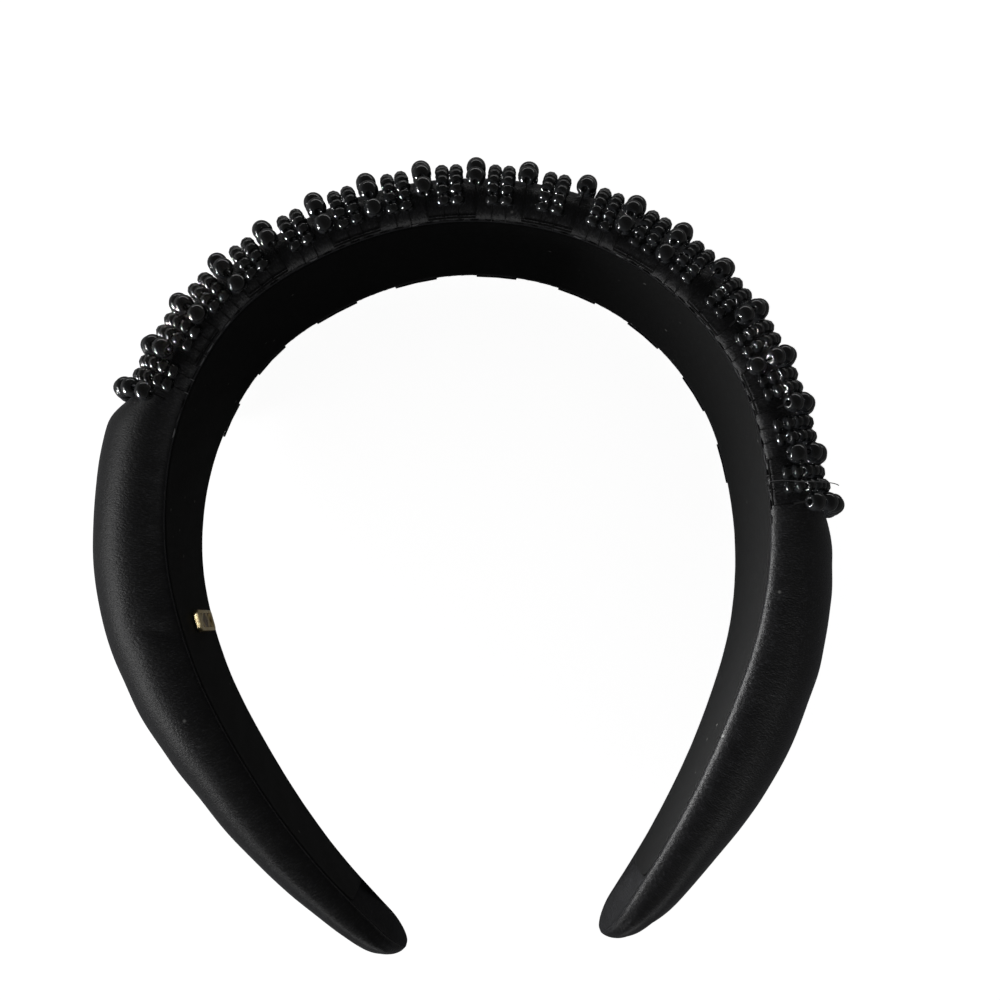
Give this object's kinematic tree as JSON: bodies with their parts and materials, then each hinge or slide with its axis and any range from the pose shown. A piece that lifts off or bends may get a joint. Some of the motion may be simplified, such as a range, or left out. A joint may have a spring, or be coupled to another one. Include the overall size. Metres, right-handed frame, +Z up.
{
  "type": "padded headband",
  "caption": "Thick padded headband of black satin with rows of round black beads and strings of seed beads across its crown, lying on one long edge.",
  "frame": {"origin": "middle of the part's length and width, on the surface that it lies on", "axes": "+Y towards the crown, -Y towards the open ends of the arms, +Z up, across the band's width; the left arm, with the metal tag, is at -X"},
  "size_m": [0.1696, 0.1774, 0.0546],
  "materials": {
    "satin": "satin",
    "lining": "matte",
    "tag": "polished",
    "round_bead": "gloss",
    "thread": "matte",
    "seed_bead": "gloss"
  },
  "bodies": {
    "root": {"satin_pad": "satin", "lining": "lining", "gold_tag": "tag", "large_beads": "round_bead", "bead_threads": "thread", "seed_strings": "seed_bead"}
  },
  "joints": []
}
